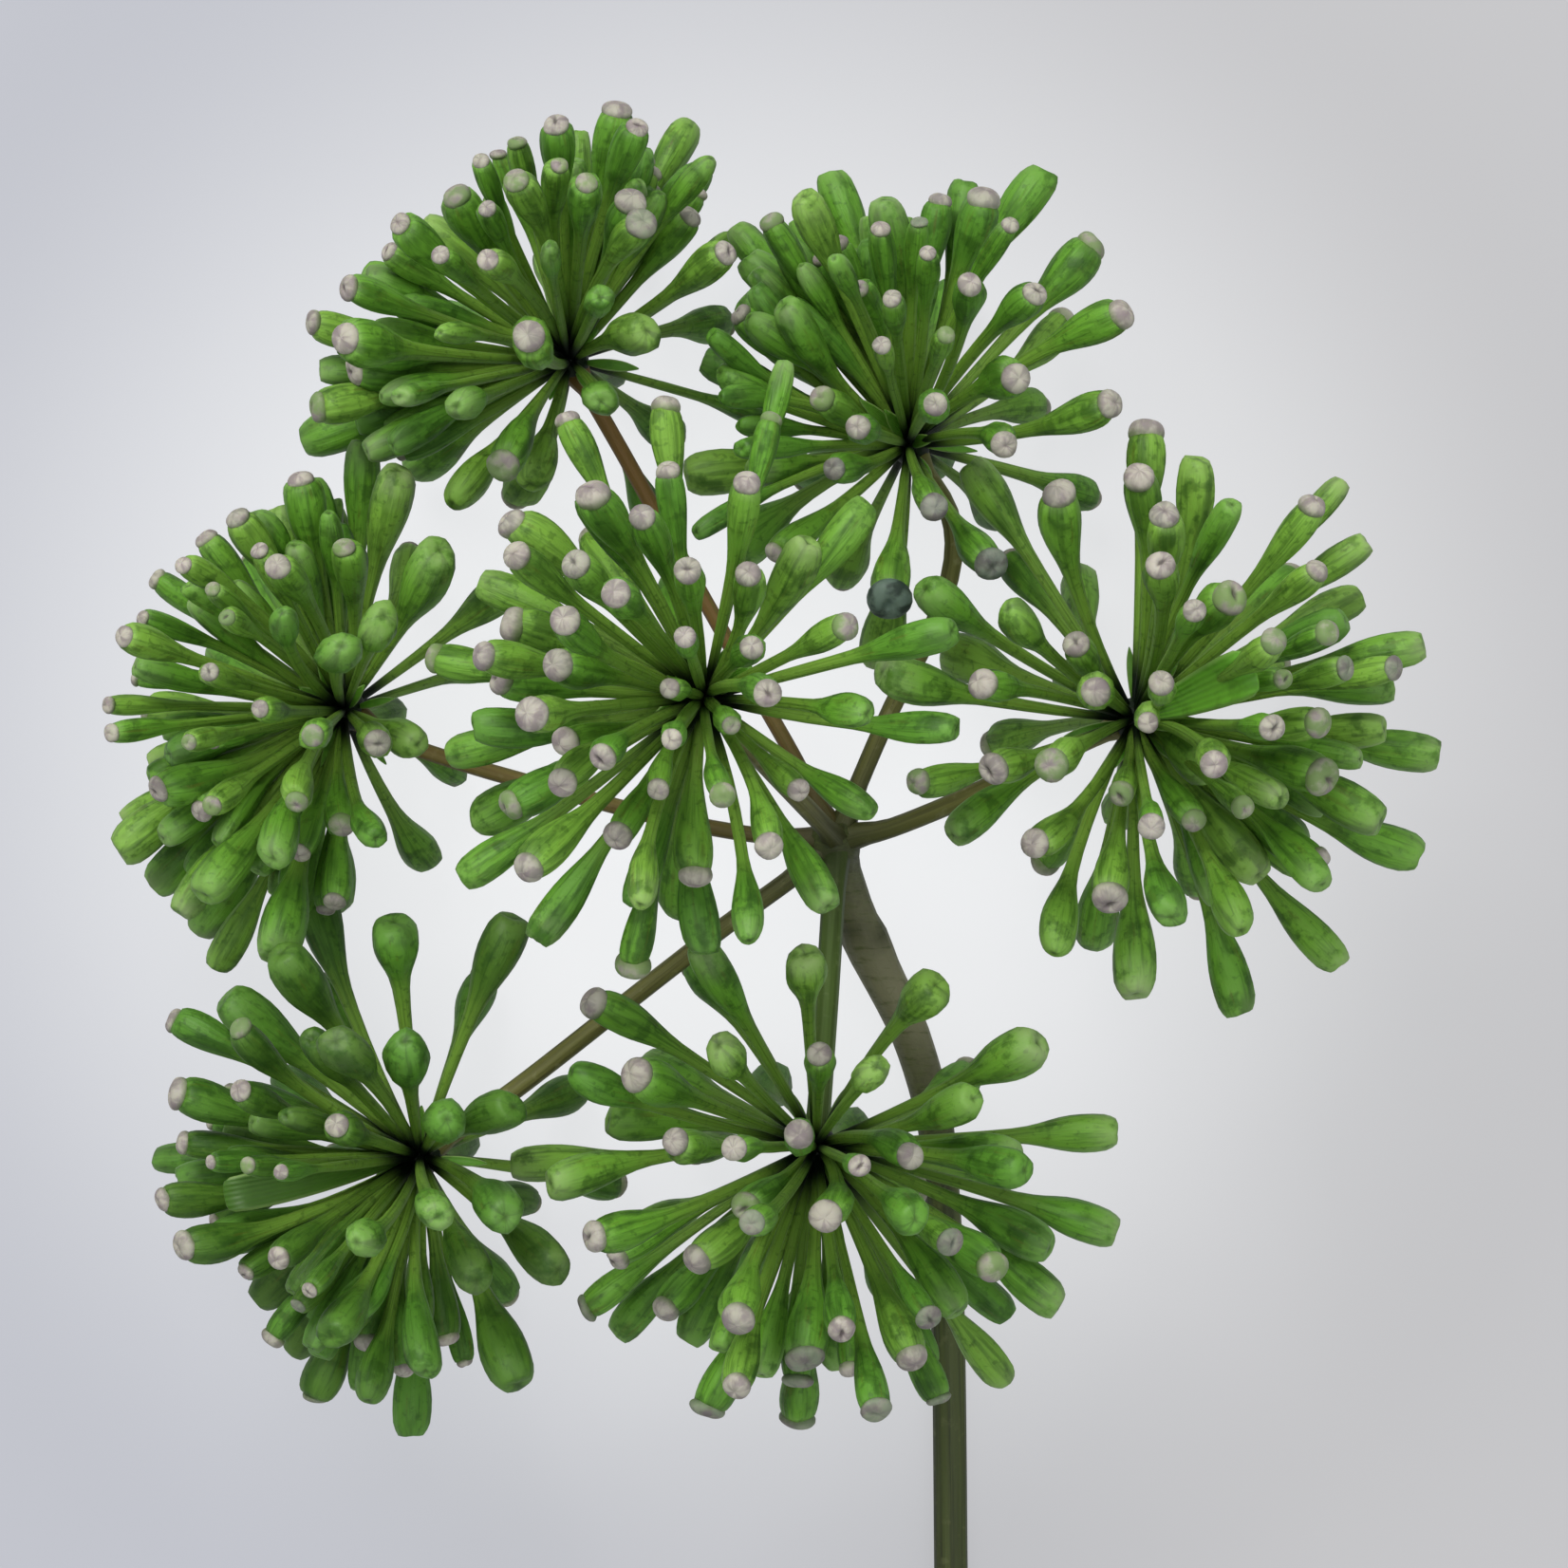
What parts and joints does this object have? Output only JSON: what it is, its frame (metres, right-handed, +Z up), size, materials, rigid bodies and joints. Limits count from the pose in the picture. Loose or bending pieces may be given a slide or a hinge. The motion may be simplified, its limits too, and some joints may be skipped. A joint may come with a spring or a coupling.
{
  "type": "angelica flower",
  "caption": "Cut angelica head lying on its back: burr-like umbellets of club-shaped green florets with pale closed buds, on short rays from a round stem that trails along the surface.",
  "frame": {"origin": "middle of the overall box, on the surface that the flower lies on", "axes": "+Z up from the surface; the head is at +Y and the stem runs towards -Y; +X is the picture's right"},
  "size_m": [0.1121, 0.2424, 0.0779],
  "materials": {
    "florets": "satin",
    "buds": "matte",
    "bracts": "satin",
    "rays": "satin",
    "stem": "satin"
  },
  "bodies": {
    "root": {"main_stem": "stem", "ray_centre": "rays", "ray_left": "rays", "ray_top_left": "rays", "ray_top_right": "rays", "ray_right": "rays", "ray_lower_left": "rays", "ray_lower_centre": "rays", "umbellet_centre": "florets", "umbellet_left": "florets", "umbellet_top_left": "florets", "umbellet_top_right": "florets", "umbellet_right": "florets", "umbellet_lower_left": "florets", "umbellet_lower_centre": "florets"}
  },
  "joints": []
}
